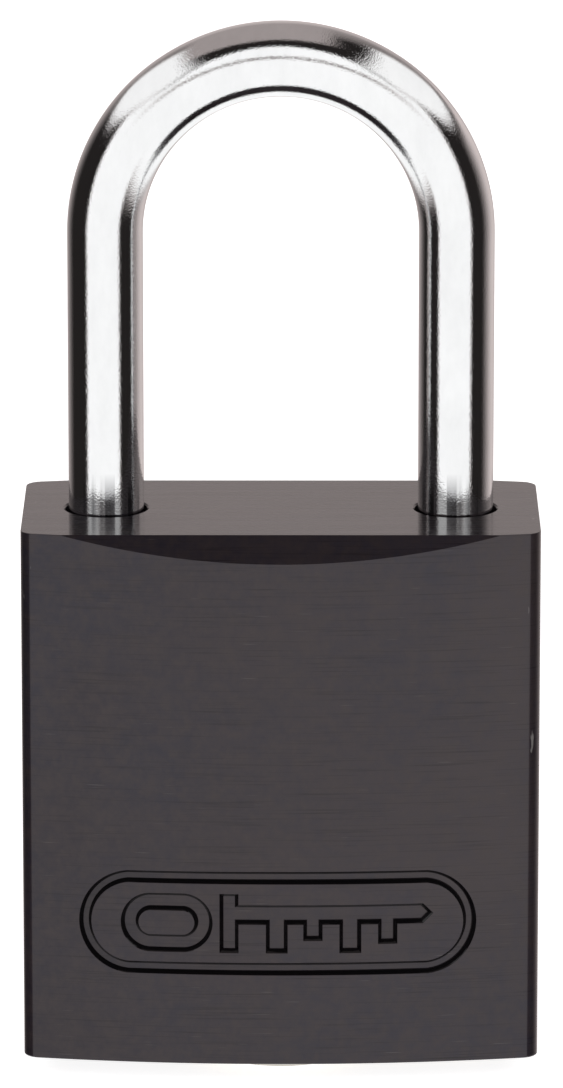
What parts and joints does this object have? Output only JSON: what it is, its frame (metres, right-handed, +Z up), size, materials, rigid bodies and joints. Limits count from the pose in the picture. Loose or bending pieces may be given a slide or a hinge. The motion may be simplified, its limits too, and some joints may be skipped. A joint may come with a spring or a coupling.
{
  "type": "padlock",
  "caption": "Rectangular solid-body padlock with bowed faces and a round shackle, held by locking balls and a cam that a pin tumbler cylinder in the base turns.",
  "frame": {"origin": "centre of the bounding box at its lowest face, which is the plug's nose that the padlock stands on", "axes": "+Z up along the shackle legs, +X to the toe leg (right as seen from the front), front face towards -Y"},
  "size_m": [0.04, 0.0204, 0.082],
  "materials": {
    "anodised_aluminium": "dark anodised over fine horizontal brush lines",
    "chrome_plate": "bright chrome plate on boron steel",
    "nickel_plate": "satin nickel plate on brass",
    "brass": "machined brass",
    "hardened_steel": "polished hardened steel",
    "spring_steel": "drawn spring wire",
    "zinc_plated_steel": "zinc-plated steel"
  },
  "bodies": {
    "case": {"padlock_body": "anodised_aluminium", "cylinder_shell": "brass", "chamber_cover": "brass", "cylinder_screw": "zinc_plated_steel", "shackle_spring": "spring_steel", "pin_spring_1": "spring_steel", "pin_spring_2": "spring_steel", "pin_spring_3": "spring_steel", "pin_spring_4": "spring_steel", "pin_spring_5": "spring_steel", "pin_spring_6": "spring_steel"},
    "shackle_bar": {"shackle": "chrome_plate"},
    "plug_rotor": {"plug": "nickel_plate", "locking_cam": "zinc_plated_steel", "plug_clip": "spring_steel"},
    "toe_ball_body": {"toe_ball": "hardened_steel"},
    "heel_ball_body": {"heel_ball": "hardened_steel"},
    "key_pin_body_1": {"key_pin_1": "brass"},
    "key_pin_body_2": {"key_pin_2": "brass"},
    "key_pin_body_3": {"key_pin_3": "brass"},
    "key_pin_body_4": {"key_pin_4": "brass"},
    "key_pin_body_5": {"key_pin_5": "brass"},
    "key_pin_body_6": {"key_pin_6": "brass"},
    "driver_pin_body_1": {"driver_pin_1": "hardened_steel"},
    "driver_pin_body_2": {"driver_pin_2": "hardened_steel"},
    "driver_pin_body_3": {"driver_pin_3": "hardened_steel"},
    "driver_pin_body_4": {"driver_pin_4": "hardened_steel"},
    "driver_pin_body_5": {"driver_pin_5": "hardened_steel"},
    "driver_pin_body_6": {"driver_pin_6": "hardened_steel"}
  },
  "joints": [
    {"name": "shackle_lift", "type": "slide", "parent": "case", "child": "shackle_bar", "axis": [0, 0, 1], "range_m": [0, 0.0105], "deforming": ["shackle_spring"]},
    {"name": "plug_turn", "type": "hinge", "parent": "case", "child": "plug_rotor", "pos_m": [0, 0, 0], "axis": [0, 0, 1], "range_deg": [-90, 0]},
    {"name": "toe_ball_slide", "type": "slide", "parent": "case", "child": "toe_ball_body", "axis": [1, 0, 0], "range_m": [0, 0.0017]},
    {"name": "heel_ball_slide", "type": "slide", "parent": "case", "child": "heel_ball_body", "axis": [-1, 0, 0], "range_m": [0, 0.000875]},
    {"name": "key_pin_slide_1", "type": "slide", "parent": "plug_rotor", "child": "key_pin_body_1", "axis": [0, -1, 0], "range_m": [0, 0.00203]},
    {"name": "key_pin_slide_2", "type": "slide", "parent": "plug_rotor", "child": "key_pin_body_2", "axis": [0, -1, 0], "range_m": [0, 0.00123]},
    {"name": "key_pin_slide_3", "type": "slide", "parent": "plug_rotor", "child": "key_pin_body_3", "axis": [0, -1, 0], "range_m": [0, 0.00243]},
    {"name": "key_pin_slide_4", "type": "slide", "parent": "plug_rotor", "child": "key_pin_body_4", "axis": [0, -1, 0], "range_m": [0, 0.00163]},
    {"name": "key_pin_slide_5", "type": "slide", "parent": "plug_rotor", "child": "key_pin_body_5", "axis": [0, -1, 0], "range_m": [0, 0.00103]},
    {"name": "key_pin_slide_6", "type": "slide", "parent": "plug_rotor", "child": "key_pin_body_6", "axis": [0, -1, 0], "range_m": [0, 0.00223]},
    {"name": "driver_pin_slide_1", "type": "slide", "parent": "case", "child": "driver_pin_body_1", "axis": [1, 0, 0], "range_m": [0, 0.0015], "stiffness_N_per_m": 100, "springref_m": -0.002, "deforming": ["pin_spring_1"]},
    {"name": "driver_pin_slide_2", "type": "slide", "parent": "case", "child": "driver_pin_body_2", "axis": [1, 0, 0], "range_m": [0, 0.0015], "stiffness_N_per_m": 100, "springref_m": -0.002, "deforming": ["pin_spring_2"]},
    {"name": "driver_pin_slide_3", "type": "slide", "parent": "case", "child": "driver_pin_body_3", "axis": [1, 0, 0], "range_m": [0, 0.0015], "stiffness_N_per_m": 100, "springref_m": -0.002, "deforming": ["pin_spring_3"]},
    {"name": "driver_pin_slide_4", "type": "slide", "parent": "case", "child": "driver_pin_body_4", "axis": [1, 0, 0], "range_m": [0, 0.0015], "stiffness_N_per_m": 100, "springref_m": -0.002, "deforming": ["pin_spring_4"]},
    {"name": "driver_pin_slide_5", "type": "slide", "parent": "case", "child": "driver_pin_body_5", "axis": [1, 0, 0], "range_m": [0, 0.0015], "stiffness_N_per_m": 100, "springref_m": -0.002, "deforming": ["pin_spring_5"]},
    {"name": "driver_pin_slide_6", "type": "slide", "parent": "case", "child": "driver_pin_body_6", "axis": [1, 0, 0], "range_m": [0, 0.0015], "stiffness_N_per_m": 100, "springref_m": -0.002, "deforming": ["pin_spring_6"]}
  ],
  "couplings": [
    {"joint": "toe_ball_slide", "follows": "plug_turn", "m_per_rad": -0.0010823},
    {"joint": "heel_ball_slide", "follows": "plug_turn", "m_per_rad": -0.00055704}
  ]
}
